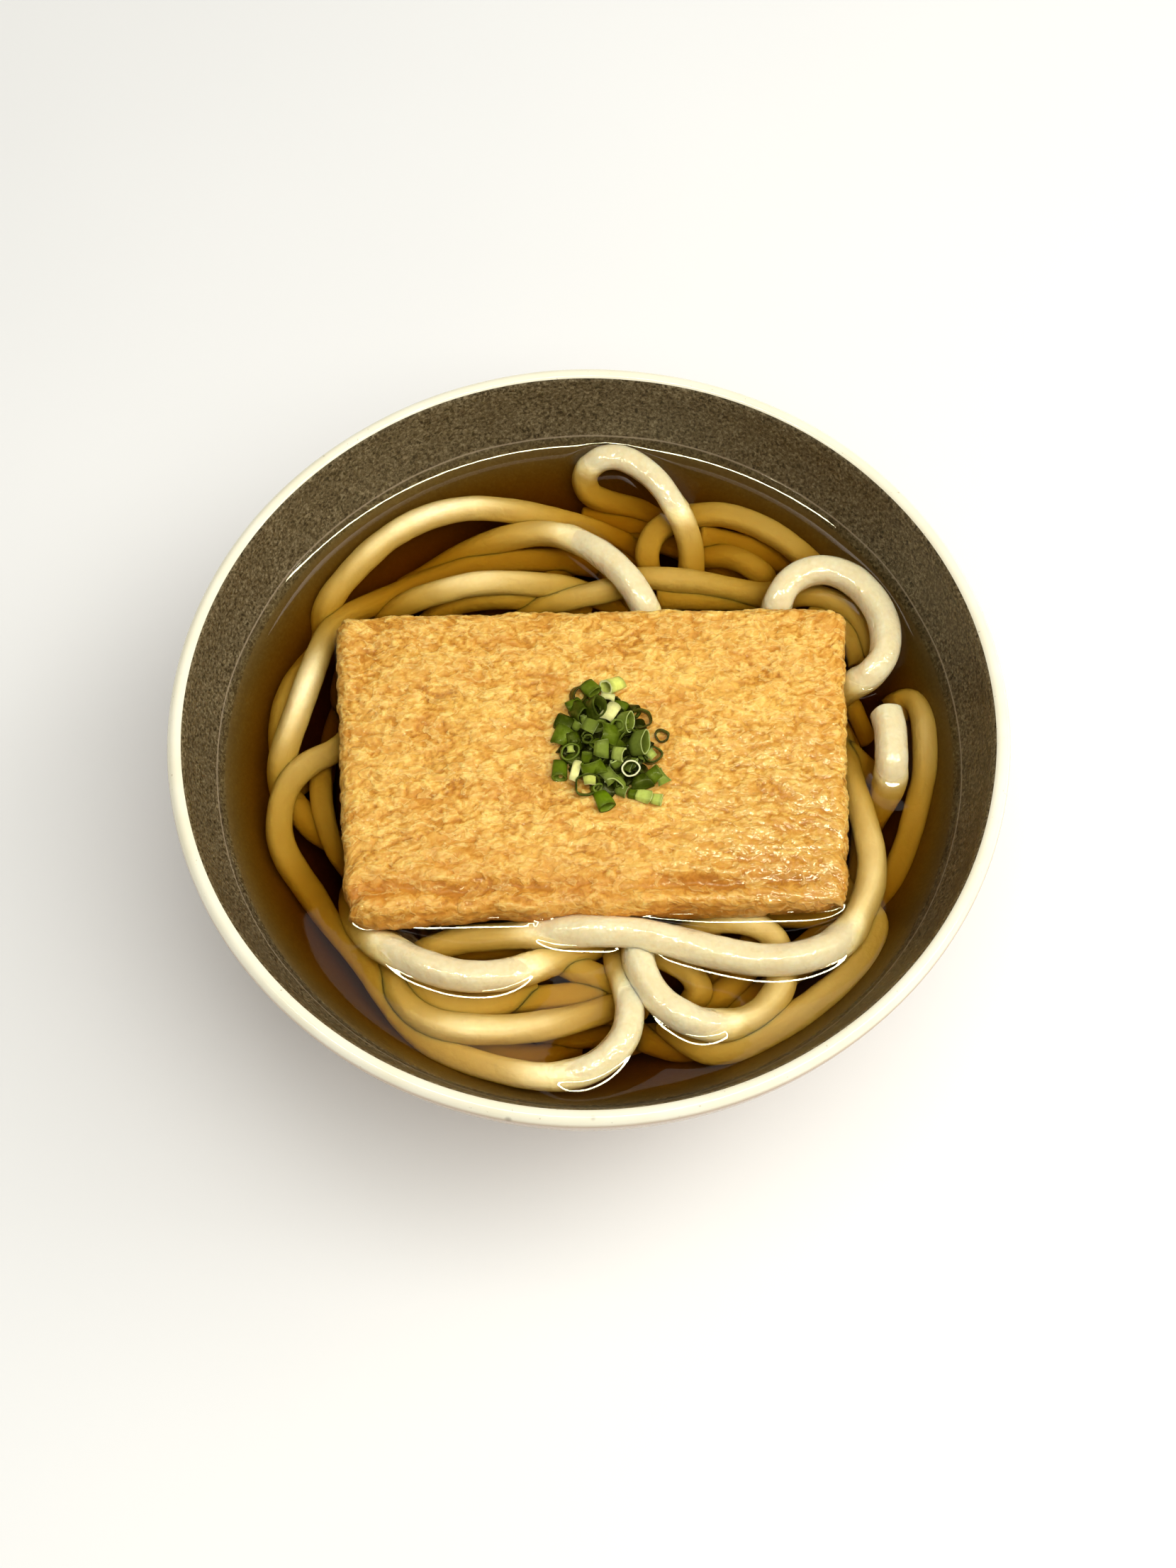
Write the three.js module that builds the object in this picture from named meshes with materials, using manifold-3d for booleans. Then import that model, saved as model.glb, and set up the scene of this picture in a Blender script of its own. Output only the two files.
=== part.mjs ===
// Udon noodle bowl: a glazed stoneware bowl of clear brown broth and thick white wheat noodles, topped
// with one slab of fried tofu and a heap of sliced spring onion.
// Millimetres, +Z up. The origin is under the middle of the foot ring, +X is to the diner's right and
// +Y points away from the diner.

import * as THREE from "three";
import { mergeVertices } from "three/addons/utils/BufferGeometryUtils.js";
import Module from "manifold-3d";

const wasm = await Module();
wasm.setup();

// ---- Driving dimensions ----

const GAP = 0.3; // between pieces that touch
const WELD = 1e-3; // vertices closer than this are one
const ROUND_STEPS = 48; // facets round the bowl and the broth

const BOWL = {
  radius: 100,
  height: 78,
  lipWidth: 4.3,
  lipHeight: 2.4,
  floor: 9, // inside, above the table
  insideRadius: 96.5, // the inner wall is an ellipse about a point above the rim
  insideCentre: 86,
  outsideCentre: 85, // and so is the outer wall
  outsideDepth: 82.5,
  underside: 4, // inside the foot ring
};
const FOOT = { outer: 42.5, flare: 44, inner: 38.5, ceilingRadius: 37.5 };

const BROTH_LEVEL = 57;

const NOODLE = { radius: 3.25, sides: 8, step: 7.5 };
const CORE = { radius: 75, top: 54.6, edge: 43.6, fall: 6, offWall: 4, rings: 5, segments: 20 };

const TOFU = {
  centre: [1.4, -3.7, 59.5],
  halfWidth: 61.1, // mean of the front and back
  flare: 2.2, // wider at the back, narrower at the front by this
  halfDepth: 39.8,
  halfThickness: 5.2,
  tilt: 0.7, // the back is this much higher than the middle
  cornerPower: 10, // superellipse of the plan's outline
  edge: 0.6, // share of the thickness left at the outline
  relief: 0.7,
  cells: [18, 12, 2],
};

const ONION = { centre: [4, -1.5], halfWidth: 12.5, halfDepth: 15, height: 5.5, pieces: 22, seed: 7 };
const RING = { radius: [2, 3.3], length: [2.2, 4], wall: 0.8, sides: 6 };

// Each noodle that breaks the surface, as [x, y, height of its centre line above the broth].
const STRANDS = [
  // back, from deep in the left down under the tofu
  [[-24, 59.5, -10], [-11, 62, -2.5], [-2, 60.6, 0.5], [7, 53, 1.4], [12.5, 46, 1.2], [17, 37, -4], [18, 30, -9]],
  // left side, along the tofu
  [[-44, 48, -10], [-53, 43.5, -5], [-61, 39.5, -1], [-67, 31, 1.3], [-71, 17.5, 1.4], [-75, 2, 0.9],
    [-77, -7, -3], [-74, -14, -9]],
  // loop at the back
  [[25, 45, -11], [26.5, 59, -6], [24, 68.5, -1.2], [18.5, 78.5, 1.1], [9.5, 84.3, 1.4], [1.8, 82.8, 1],
    [-1, 78, -1.2], [3, 72.5, -5], [14, 68, -10]],
  // loop on the right
  [[47, 31, -9], [50, 42, -0.5], [55.5, 47.8, 1.6], [63, 48.4, 1.9], [70.5, 43, 1.9], [74.8, 34, 1.9],
    [73, 24, 1.7], [67, 17.5, 0.6], [58, 13, -9]],
  // short cut end on the right
  [[73.3, 11, 1.6], [74.4, 3, 1.7], [73.6, -6, 1], [71.5, -13.5, -2], [66, -21, -10]],
  // long strand round the front right corner of the tofu
  [[60, -2, -9], [65, -17, -4.4], [67.6, -31, -3], [64.8, -42.5, -0.6], [56, -52, 1], [43, -55, 1.3],
    [29, -53, 1.4], [14, -48.8, 1.4], [0, -47, 1.3], [-13, -47.4, 0.6], [-27, -48.6, -3], [-38, -52, -9]],
  // front left
  [[-60, -40, -10], [-53, -47.6, -2.5], [-43, -53.2, 0.6], [-32, -57.6, 1.4], [-20, -57.4, 1.3],
    [-9, -54.2, 0.2], [1, -50, -5], [8, -46, -10]],
  // front, curling up to the tofu
  [[-29, -66, -10], [-24, -76, -6], [-13, -82, -0.6], [-3, -81.5, 1.3], [5, -76.2, 1.6], [8.5, -67.5, 1.2],
    [7.5, -59, -1.5], [4, -50, -8]],
  // ring at the front right
  [[10, -47, -8], [10.8, -54, -0.5], [14.5, -63.2, 1.2], [22, -69.4, 1.5], [30, -71, 0.4], [38, -68.5, -2.4],
    [43.5, -61.5, -5], [42, -50, -10]],
];

const LOOK = {
  bowl: { color: 0xf4efd9, roughness: 0.25 },
  broth: { color: 0x6b430f, roughness: 0.05 },
  noodles: { color: 0xe6d7b0, roughness: 0.35 },
  fried_tofu: { color: 0xdca95a, roughness: 0.45 },
  spring_onion: { color: 0x7d9a45, roughness: 0.45 },
};

// ---- Solids ----

function weld(geometry) {
  geometry.deleteAttribute("normal");
  geometry.deleteAttribute("uv");
  return mergeVertices(geometry, WELD);
}

function solidOf(geometry) {
  const welded = weld(geometry);
  return new wasm.Manifold(
    new wasm.Mesh({
      numProp: 3,
      vertProperties: new Float32Array(welded.attributes.position.array),
      triVerts: new Uint32Array(welded.index.array),
    }),
  );
}

function geometryOf(solid) {
  const mesh = solid.getMesh();
  const geometry = new THREE.BufferGeometry();
  geometry.setAttribute("position", new THREE.BufferAttribute(mesh.vertProperties, 3));
  geometry.setIndex(new THREE.BufferAttribute(mesh.triVerts, 1));
  geometry.computeVertexNormals();
  return geometry;
}

function largestOf(solid) {
  return solid.decompose().reduce((a, b) => (a.volume() > b.volume() ? a : b));
}

function joined(solids) {
  return solids.reduce((a, b) => a.add(b));
}

// Turns a profile of [radius, height] about Z. The profile runs with the solid on its left.
function turned(profile, segments) {
  const points = profile.map(([r, z]) => new THREE.Vector2(r, z));
  return new THREE.LatheGeometry(points, segments).rotateX(Math.PI / 2);
}

// The n + 1 values from a to b, both included.
function steps(a, b, n) {
  return Array.from({ length: n + 1 }, (_, i) => a + ((b - a) * i) / n);
}

function randomFrom(seed) {
  let state = seed;
  return (low, high) => {
    state = (state + 0x6d2b79f5) | 0;
    let t = Math.imul(state ^ (state >>> 15), 1 | state);
    t = (t + Math.imul(t ^ (t >>> 7), 61 | t)) ^ t;
    return low + ((high - low) * ((t ^ (t >>> 14)) >>> 0)) / 4294967296;
  };
}

// ---- Bowl ----

const insideDepth = BOWL.insideCentre - BOWL.floor;
const lipCentre = { r: BOWL.radius - BOWL.lipWidth / 2, z: BOWL.height - BOWL.lipHeight };
const outsideRadius =
  BOWL.radius / Math.sqrt(1 - ((BOWL.outsideCentre - lipCentre.z) / BOWL.outsideDepth) ** 2);

// Height of the inner wall at a radius, and the radius at a height.
function insideHeight(r) {
  return BOWL.insideCentre - insideDepth * Math.sqrt(1 - (r / BOWL.insideRadius) ** 2);
}

function insideAt(z) {
  return BOWL.insideRadius * Math.sqrt(1 - ((BOWL.insideCentre - z) / insideDepth) ** 2);
}

function outsideHeight(r) {
  return BOWL.outsideCentre - BOWL.outsideDepth * Math.sqrt(1 - (r / outsideRadius) ** 2);
}

function outsideAt(z) {
  return outsideRadius * Math.sqrt(1 - ((BOWL.outsideCentre - z) / BOWL.outsideDepth) ** 2);
}

// The inner wall as [radius, height], from the broth's level down to the middle of the floor.
const wallBelowBroth = [
  ...steps(BROTH_LEVEL, 26, 4).map((z) => [insideAt(z), z]),
  ...steps(48, 0, 4).map((r) => [r, insideHeight(r)]),
];

function bowl() {
  const foot = [
    [0, BOWL.underside],
    [FOOT.ceilingRadius, BOWL.underside],
    [FOOT.inner, 0],
    [FOOT.outer, 0],
  ];
  const outside = [
    ...steps(FOOT.flare, 76, 4).map((r) => [r, outsideHeight(r)]),
    ...steps(38, 68, 4).map((z) => [outsideAt(z), z]),
  ];
  const lip = steps(0, Math.PI, 6).map((angle) => [
    lipCentre.r + (BOWL.lipWidth / 2) * Math.cos(angle),
    lipCentre.z + BOWL.lipHeight * Math.sin(angle),
  ]);
  const wallAboveBroth = [[insideAt(67), 67]];
  const profile = [...foot, ...outside, ...lip, ...wallAboveBroth, ...wallBelowBroth];
  return solidOf(turned(profile, ROUND_STEPS));
}

// ---- Noodles ----

// The middle of the heap: a low mound that follows the bowl's floor at a distance.
function noodleCore(gap) {
  const radii = steps(0, CORE.radius, CORE.rings);
  const below = radii.map((r) => [r, insideHeight(r) + CORE.offWall - gap]);
  const above = radii.map((r) => [
    r,
    CORE.top + gap - (CORE.top - CORE.edge) * (r / CORE.radius) ** CORE.fall,
  ]);
  const rim = [[CORE.radius + gap, CORE.edge - 1]];
  return solidOf(turned([...below, ...rim, ...above.reverse()], CORE.segments));
}

// One noodle along a smooth curve. A gap makes it thicker and longer.
function noodle(route, gap) {
  const points = route.map(([x, y, h]) => new THREE.Vector3(x, y, BROTH_LEVEL + h));
  const ends = [
    [points[0], points[1]],
    [points[points.length - 1], points[points.length - 2]],
  ];
  for (const [end, next] of ends) {
    end.addScaledVector(end.clone().sub(next).normalize(), gap);
  }
  const curve = new THREE.CatmullRomCurve3(points, false, "centripetal");
  const radius = NOODLE.radius + gap;
  const corners = steps(0, 2 * Math.PI, NOODLE.sides)
    .slice(0, NOODLE.sides)
    .map((angle) => new THREE.Vector2(radius * Math.cos(angle), radius * Math.sin(angle)));
  const options = {
    steps: Math.round(curve.getLength() / NOODLE.step),
    extrudePath: curve,
  };
  return solidOf(new THREE.ExtrudeGeometry(new THREE.Shape(corners), options));
}

function noodleHeap(gap) {
  return joined([noodleCore(gap), ...STRANDS.map((route) => noodle(route, gap))]);
}

// ---- Fried tofu ----

// Shallow wrinkles of the fried skin, between -1 and 1.
function wrinkle(x, y) {
  const across = Math.sin(x * 0.31 + 1.3 * Math.sin(y * 0.17));
  const along = Math.sin(y * 0.43 + 1.1 * Math.sin(x * 0.13 + 2));
  return 0.5 * across + 0.5 * along;
}

// A thin slab with round corners and edges, wider at the back.
function tofuSlab(gap) {
  const geometry = new THREE.BoxGeometry(2, 2, 2, ...TOFU.cells);
  const at = geometry.attributes.position;
  const [cx, cy, cz] = TOFU.centre;
  for (let i = 0; i < at.count; i++) {
    const [u, v, w] = [at.getX(i), at.getY(i), at.getZ(i)];
    const outline = Math.max(Math.abs(u), Math.abs(v));
    const corner = (Math.abs(u) ** TOFU.cornerPower + Math.abs(v) ** TOFU.cornerPower) ** (1 / TOFU.cornerPower);
    const round = corner > 0 ? outline / corner : 1;
    const bulge = 1 - 0.02 * w * w * outline;
    const x = u * round * bulge * (TOFU.halfWidth + TOFU.flare * v + gap);
    const y = v * round * bulge * (TOFU.halfDepth + gap);
    const thin = 1 - (1 - TOFU.edge) * outline ** 8;
    const relief = w > 0 ? TOFU.relief * wrinkle(x, y) * thin * w : 0;
    const z = TOFU.tilt * v + w * (TOFU.halfThickness * thin + gap) + relief;
    at.setXYZ(i, cx + x, cy + y, cz + z);
  }
  return solidOf(geometry);
}

// ---- Spring onion ----

// A slice of the hollow green leaf: a short thick-walled ring about its own Z.
function onionRing(radius, length) {
  const inner = Math.max(radius - RING.wall, 0.4);
  const half = length / 2;
  const profile = [
    [inner, -half],
    [radius, -half],
    [radius, half],
    [inner, half],
    [inner, -half],
  ];
  return turned(profile, RING.sides);
}

// The slices lie on a low dome, closest together in the middle, each leaning its own way.
function onionHeap() {
  const random = randomFrom(ONION.seed);
  const base = TOFU.centre[2] + TOFU.halfThickness - 1;
  const [cx, cy] = ONION.centre;
  const dome = new THREE.SphereGeometry(1, 14, 8).rotateX(Math.PI / 2);
  dome.scale(ONION.halfWidth, ONION.halfDepth, ONION.height).translate(cx, cy, base);
  const pieces = [solidOf(dome)];
  const goldenAngle = Math.PI * (3 - Math.sqrt(5));
  for (let i = 0; i < ONION.pieces; i++) {
    const out = Math.sqrt((i + 0.5) / ONION.pieces);
    const angle = i * goldenAngle;
    const slice = onionRing(random(...RING.radius), random(...RING.length));
    const lean = random(0.1, 1.3);
    const lift = ONION.height * Math.sqrt(1 - 0.8 * out * out);
    slice
      .rotateY(lean)
      .rotateZ(random(0, 2 * Math.PI))
      .translate(
        cx + ONION.halfWidth * out * Math.cos(angle),
        cy + ONION.halfDepth * out * Math.sin(angle),
        base + lift + random(0.2, 1),
      );
    pieces.push(solidOf(slice));
  }
  return joined(pieces);
}

// ---- Broth ----

// Fills the bowl up to its level, but for what lies in it.
function broth() {
  const profile = wallBelowBroth.map(([r, z]) => [Math.max(r - GAP, 0), z + GAP]).reverse();
  const fill = [...profile.slice(0, -1), [insideAt(BROTH_LEVEL) - 2 * GAP, BROTH_LEVEL], [0, BROTH_LEVEL]];
  return solidOf(turned(fill, ROUND_STEPS));
}

// ---- Assembly ----

const tofuSpace = tofuSlab(GAP);
const solids = {
  bowl: bowl(),
  broth: largestOf(broth().subtract(noodleHeap(GAP)).subtract(tofuSpace)),
  noodles: largestOf(noodleHeap(0).subtract(tofuSpace)),
  fried_tofu: tofuSlab(0),
  spring_onion: largestOf(onionHeap().subtract(tofuSpace)),
};

const udon = new THREE.Group();
for (const [name, solid] of Object.entries(solids)) {
  const mesh = new THREE.Mesh(geometryOf(solid), new THREE.MeshStandardMaterial({ ...LOOK[name], metalness: 0 }));
  mesh.name = name;
  udon.add(mesh);
}

export default udon;
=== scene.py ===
"""Looks of the udon noodle bowl: a two-tone glazed bowl, clear broth, thick noodles that lie in it and
break its surface, a slab of fried tofu with a wrinkled skin, and a heap of sliced spring onion.

Sizes are in millimetres in the frame of the CAD model, origin in the middle of the foot, +Z up and
+Y away from the diner. Meshes are scaled to metres when they are made.
"""

import math

import bpy
import numpy as np
from mathutils import Matrix, Vector


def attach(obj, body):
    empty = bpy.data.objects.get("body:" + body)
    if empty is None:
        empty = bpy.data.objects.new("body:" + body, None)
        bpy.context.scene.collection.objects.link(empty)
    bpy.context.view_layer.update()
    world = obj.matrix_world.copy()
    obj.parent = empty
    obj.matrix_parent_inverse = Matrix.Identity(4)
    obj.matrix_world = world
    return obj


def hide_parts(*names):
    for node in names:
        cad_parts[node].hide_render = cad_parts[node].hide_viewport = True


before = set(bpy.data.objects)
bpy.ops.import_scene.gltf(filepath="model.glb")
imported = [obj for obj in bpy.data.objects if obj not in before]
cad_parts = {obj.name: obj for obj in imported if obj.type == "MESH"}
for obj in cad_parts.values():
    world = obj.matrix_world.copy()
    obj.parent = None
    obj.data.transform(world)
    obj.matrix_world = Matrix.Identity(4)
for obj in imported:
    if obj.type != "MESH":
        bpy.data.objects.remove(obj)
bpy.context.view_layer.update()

MM = 0.001
SEED = 23

# ---- Driving dimensions, as in the CAD model ----

BROTH_LEVEL = 57.0
INNER = {"radius": 96.5, "centre": 86.0, "height": 77.0}
OUTER = {"radius": 100.655, "centre": 85.0, "height": 82.5}
LIP = {"radius": 97.85, "z": 75.6, "half_width": 2.15, "height": 2.4}
FOOT = {"inner": 38.5, "outer": 42.5, "flare": 44.0, "top": 10.8, "ceiling": 4.0, "recess": 37.5}
TOFU = {
    "centre": (1.1, -3.7, 59.5),
    "half_width": 61.4,
    "flare": 2.2,
    "half_depth": 39.8,
    "half_thickness": 5.2,
    "tilt": 0.7,
    "edge": 4.0,
    "corner": 5.0,
    "corner_power": 24,
    "droop": 2.0,
}
ONION_BASE = 64.4
# The pale line that the broth has left on the wall.
TIDE_LINE = 59.9

# The camera looks down at the bowl from the diner's side.
CAMERA = {
    "place": (-0.352, -231.548, 538.364),
    "right": (0.999802, -0.018076, -0.008377),
    "up": (0.019923, 0.907121, 0.420398),
    "lens": 49.915,
    "sensor": 36.0,
}
WATER_IOR = 1.33

# ---- Noodles: where each one lies ----
# Each has its width and then its points: x, y and the height of its centre above the broth's surface, with
# x and y as the diner sees them on that surface; placed() finds the real point behind it.

STRANDS = {
    "back_rim": [6.7, (-71, -9, -16), (-74, -2, -12), (-75.4, 5, -10.2), (-75.2, 13, -8.8),
        (-72.8, 20.8, -9.6), (-69.3, 26, -12), (-66.3, 30, -14), (-65.6, 35, -13.4), (-66.3, 39.4, -10.2),
        (-65, 44.5, -7), (-59.2, 53.3, -5.2), (-50.3, 62.7, -4), (-40.8, 68.4, -3.6), (-30.2, 71, -3.8),
        (-19, 70, -5.4), (-9, 67.4, -7.4), (0, 63.8, -9.6), (10, 59, -15), (14, 56, -17)],
    "back_dive": [6.8, (-46, 47, -17), (-40, 51, -15.5), (-33, 56, -13), (-26, 59.5, -9.8), (-18, 62.2, -7),
        (-10, 63, -5), (-3.4, 61.2, -2.6), (2.6, 57.6, 0.2), (7.8, 52.8, 1.3), (11.8, 47.4, 1.4),
        (14.4, 42, 0), (16, 37, -4)],
    "left_side": [6.8, (16, 50, -20), (2, 54, -15), (-10, 55, -12.5), (-20, 54.5, -11.8), (-30, 53, -12),
        (-38, 50, -12.6), (-45, 47, -13), (-52, 43.5, -12), (-59.5, 39.7, -9.8), (-63.8, 35.7, -8),
        (-66.4, 30.6, -5.6), (-68.4, 25, -3.9), (-70.5, 18, -3.4), (-72.5, 11, -4), (-74.5, 4, -5.2),
        (-75.4, -1, -7), (-75.2, -6, -10), (-74, -11, -14)],
    "back_low": [6.6, (-52, 33, -17), (-49.5, 39, -12), (-44, 43.5, -8), (-36, 46.5, -5), (-28, 48.3, -4.2),
        (-20, 48.5, -4.7), (-12, 47.8, -5.7), (-5, 46.8, -7.2), (3, 43.5, -11), (10, 38, -15)],
    "back_low_under": [6.4, (-41, 34, -16), (-36, 40.5, -12), (-28, 43.5, -10), (-20, 44, -9),
        (-10, 42.8, -11), (0, 38, -14)],
    "back_right_long": [6.5, (-17, 35, -14), (-12, 40.6, -9.6), (-5, 43, -6.8), (3, 45, -5.5),
        (8, 46.5, -6), (15, 48.5, -6.3), (20, 48.5, -6), (28, 47.5, -6.6), (36, 45.5, -7.4), (46, 43, -8.5),
        (55, 43.3, -7.6), (60, 42.5, -6.8), (66, 39, -6.8), (69, 35, -7), (71, 30, -7.2), (71.5, 25, -9)],
    "back_right_under": [6.4, (18, 43, -10), (30, 42, -10), (45, 41, -11.5)],
    "right_loop_under": [6.3, (58, 38, -10.5), (63, 33.5, -8.5), (66, 28.5, -7.8), (67.5, 23, -9)],
    "back_loop": [6.6, (27, 46, -14), (27, 50, -10.5), (27.3, 56, -8), (26.3, 63, -5.2), (23.7, 70, -1.6),
        (20, 77, 0.8), (15, 82.5, 1.3), (9.7, 85.6, 1.3), (4.6, 85.2, 0.2), (1.2, 82, -3.4),
        (0.4, 78.4, -7), (1.6, 75, -9), (3.5, 73.3, -10), (8, 71.5, -11), (14, 70, -12.5), (19, 67.5, -15)],
    "back_loop_under": [6.4, (0, 67, -14.5), (8, 66, -14.5), (15, 63.5, -15.5), (20, 62, -17)],
    "back_right_arch": [6.5, (16, 50, -12), (15.8, 56, -9), (18, 62, -8.7), (23, 66, -8.8),
        (30, 67.5, -8.2), (36, 67.5, -7.2), (43, 65, -7), (50, 60.5, -6.8), (55, 55.5, -7.4),
        (58, 51, -10)],
    "back_right_arch_2": [6.4, (30, 61, -11), (36, 59.5, -12.5), (42, 57.5, -12.3), (48, 54, -14),
        (52, 51, -15)],
    "back_right_arch_3": [6.2, (31, 55, -13), (36, 55, -11), (41, 53, -9.6), (45, 49.5, -10.4),
        (47, 46, -13)],
    "right_loop": [7.4, (47, 33, -8), (49, 42, 0), (52, 47, 1.5), (57, 50, 1.9), (62, 50.3, 2),
        (67.5, 47.8, 2), (71.8, 43, 2), (74.6, 37, 2), (75.3, 31, 2), (74.2, 25, 1.6), (71, 20.5, 0.2),
        (66, 17.2, -4), (62, 15, -7), (57, 12, -10)],
    "right_cut_end": [7.4, (73.8, 9.4, 1.6), (74.4, 5, 1.8), (74.3, 0, 1.6), (74, -5, 0.6), (73, -10, -5),
        (71, -14.5, -10.4), (69, -17.5, -13.4), (66, -22, -16)],
    "right_rim": [6.3, (75.6, 8.5, -12), (77.4, 12.2, -9.8), (80.4, 12.4, -7.8), (82.3, 9, -6.2),
        (82.6, 3, -5.4), (82, -5, -6.2), (80.3, -13, -8.2), (78.2, -20, -9.3), (75.6, -27, -10.8),
        (73, -32.5, -11.6), (70.4, -37, -13.5), (67, -42, -17)],
    "right_front_rim": [6.9, (56, -35, -14), (62, -41, -10), (66.8, -46, -8.2), (64, -53.4, -7.6),
        (59, -59.3, -6.6), (52, -65.3, -6.4), (45, -70.2, -6.5), (38, -74, -7), (32, -76.5, -7.3),
        (26.5, -76.8, -7.8), (22, -74.5, -8.6), (17, -70, -11)],
    "front_long": [7.4, (60, 3, -12), (62.5, -5, -9), (64, -12, -6.8), (66.3, -22, -5.5), (67.2, -30, -5),
        (66.2, -37, -4.9), (63, -44, -4.5), (60.5, -48.5, -3.2), (55, -52.5, 0.4), (48, -54.7, 1.3),
        (40, -55, 1.4), (32, -53.6, 1.5), (25, -51.7, 1.5), (18, -49.5, 1.5), (10, -47.6, 1.4),
        (2, -46.9, 1.3), (-6, -46.8, -0.2), (-14, -47.2, -3.7), (-22, -47.8, -6), (-30, -48.2, -6.8),
        (-35, -49.8, -7.2), (-39, -52, -7.6), (-42, -56, -8), (-38, -61.5, -7.2), (-30, -65, -7),
        (-21, -63.5, -8), (-15, -60, -9.5)],
    "front_left": [7.1, (-55, -36, -15), (-55.6, -42.5, -9.5), (-52.4, -47.6, -5), (-46, -51.7, -1.4),
        (-40, -54.6, 0.8), (-33, -57, 1.4), (-26, -57.7, 1), (-18, -56.8, -1.7), (-11, -54.5, -4.7),
        (-5, -52, -6.4), (0, -50, -8.5), (4, -46, -12)],
    "front_left_under": [6.9, (-49, -49, -12), (-47, -54, -9.5), (-46, -60, -7.4), (-42.5, -65.5, -6.5),
        (-37, -69, -5.2), (-30, -70.4, -4.3), (-20, -70.8, -4.4), (-10, -69.8, -5.2), (-2, -68, -7.2),
        (5, -66, -9.5), (11, -64, -13)],
    "left_rim": [6.7, (-56, 6, -9), (-62, 1.7, -6.4), (-68, -1, -6), (-72.4, -5.2, -6.3), (-74.6, -10, -7),
        (-75.4, -17, -7.8), (-74.8, -22, -8.4), (-73, -26.6, -9), (-69.6, -32, -11.2),
        (-66.2, -36.8, -12.4), (-61.9, -43, -12), (-57.5, -48.4, -10.6), (-53, -54.1, -10),
        (-49.3, -60, -9.2), (-46, -65, -9.2), (-42, -70, -9), (-37, -74.3, -8.2), (-30, -77.8, -7),
        (-22, -80.5, -5.6), (-14, -82.2, -3.8), (-8, -82.4, -2.8), (-2, -81, -1.4), (3, -78, -1.1),
        (7, -73, -0.7), (8.4, -67, -0.6), (7.8, -61, -2.8), (6, -55.5, -7.2), (5.5, -51, -11)],
    "front_ring": [7, (11, -46, -10), (10.5, -52, -3), (11, -56, 0.2), (13, -61, 1.1), (16.5, -65.5, 1.4),
        (21.5, -69, 1.1), (27, -70.8, -1.6), (33, -70.5, -4.1), (38, -68.5, -4.8), (42, -64.5, -5),
        (44, -60, -4.8), (43.8, -55, -5.2), (42.5, -49.5, -5), (38, -45.8, -4.4), (31, -44.8, -4.9),
        (25, -46.5, -7.5), (21, -48.5, -11)],
    "left_under_1": [6.2, (-65.2, -2, -12), (-64.8, -12, -9.6), (-63, -19, -10), (-59.5, -26, -12),
        (-54, -31, -16)],
    "left_under_2": [6.4, (-73, -11, -11), (-69.5, -15.5, -11.5), (-66, -19.5, -13), (-60, -23, -16)],
    "right_under_1": [6.2, (58, 1, -11), (62.8, -1.3, -10.5), (66.4, -4, -11), (70, -7.5, -13),
        (73, -12, -16)],
    "right_under_2": [6.2, (60, 17, -11), (64, 12, -11.5), (67, 7, -13), (69, 2, -16)],
    "front_under_1": [6.5, (-22, -63.8, -10), (-14, -63.5, -9.4), (-5, -63, -9.4), (4, -62, -10.5),
        (10, -61, -12)],
    "front_under_2": [6.5, (-14, -51, -10), (-6, -55, -7.4), (0, -58, -8.2), (5, -61, -9.5),
        (12, -66, -12)],
    "front_under_3": [6.5, (-40, -69, -14), (-30, -74, -12.5), (-20, -77, -13), (-12, -78, -14.5),
        (-4, -77, -18)],
    "front_under_4": [6.5, (0, -70, -18), (10, -73, -14), (20, -76, -14.5), (28, -74, -14)],
    "ring_under_1": [6.6, (9, -49, -10), (14, -53, -7), (22, -57, -6.8), (24.5, -62, -8), (22, -67, -11)],
    "ring_under_2": [6.4, (38, -50, -12), (35.5, -57, -10.5), (31, -62, -10.5), (26, -68, -13)],
    "ring_under_3": [6.4, (27, -50, -13), (30, -58, -13), (31, -66, -14)],
    "gap_left": [6.5, (-42, -54, -14), (-35, -52, -13.5), (-24, -52, -13), (-14, -51.5, -13),
        (-6, -50, -14)],
    "gap_right": [6.5, (34, -41, -13), (45, -43, -11), (55, -44, -11), (64, -42, -13)],
}

# ---- Small tools ----


def placed(x, y, height):
    """The real place of a point that shows at (x, y) on the broth, `height` above or below its surface."""
    surface = np.array([x, y, BROTH_LEVEL])
    ray = surface - np.array(CAMERA["place"])
    ray /= np.linalg.norm(ray)
    if height < 0:
        ray[:2] /= WATER_IOR
        ray[2] = -math.sqrt(1 - ray[0] ** 2 - ray[1] ** 2)
    return surface + ray * (height / ray[2])


def unit(vectors):
    return vectors / np.linalg.norm(vectors, axis=1)[:, None]


def lengths_along(path):
    """How far along the path each of its points lies."""
    return np.concatenate([[0], np.cumsum(np.linalg.norm(np.diff(path, axis=0), axis=1))])


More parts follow.
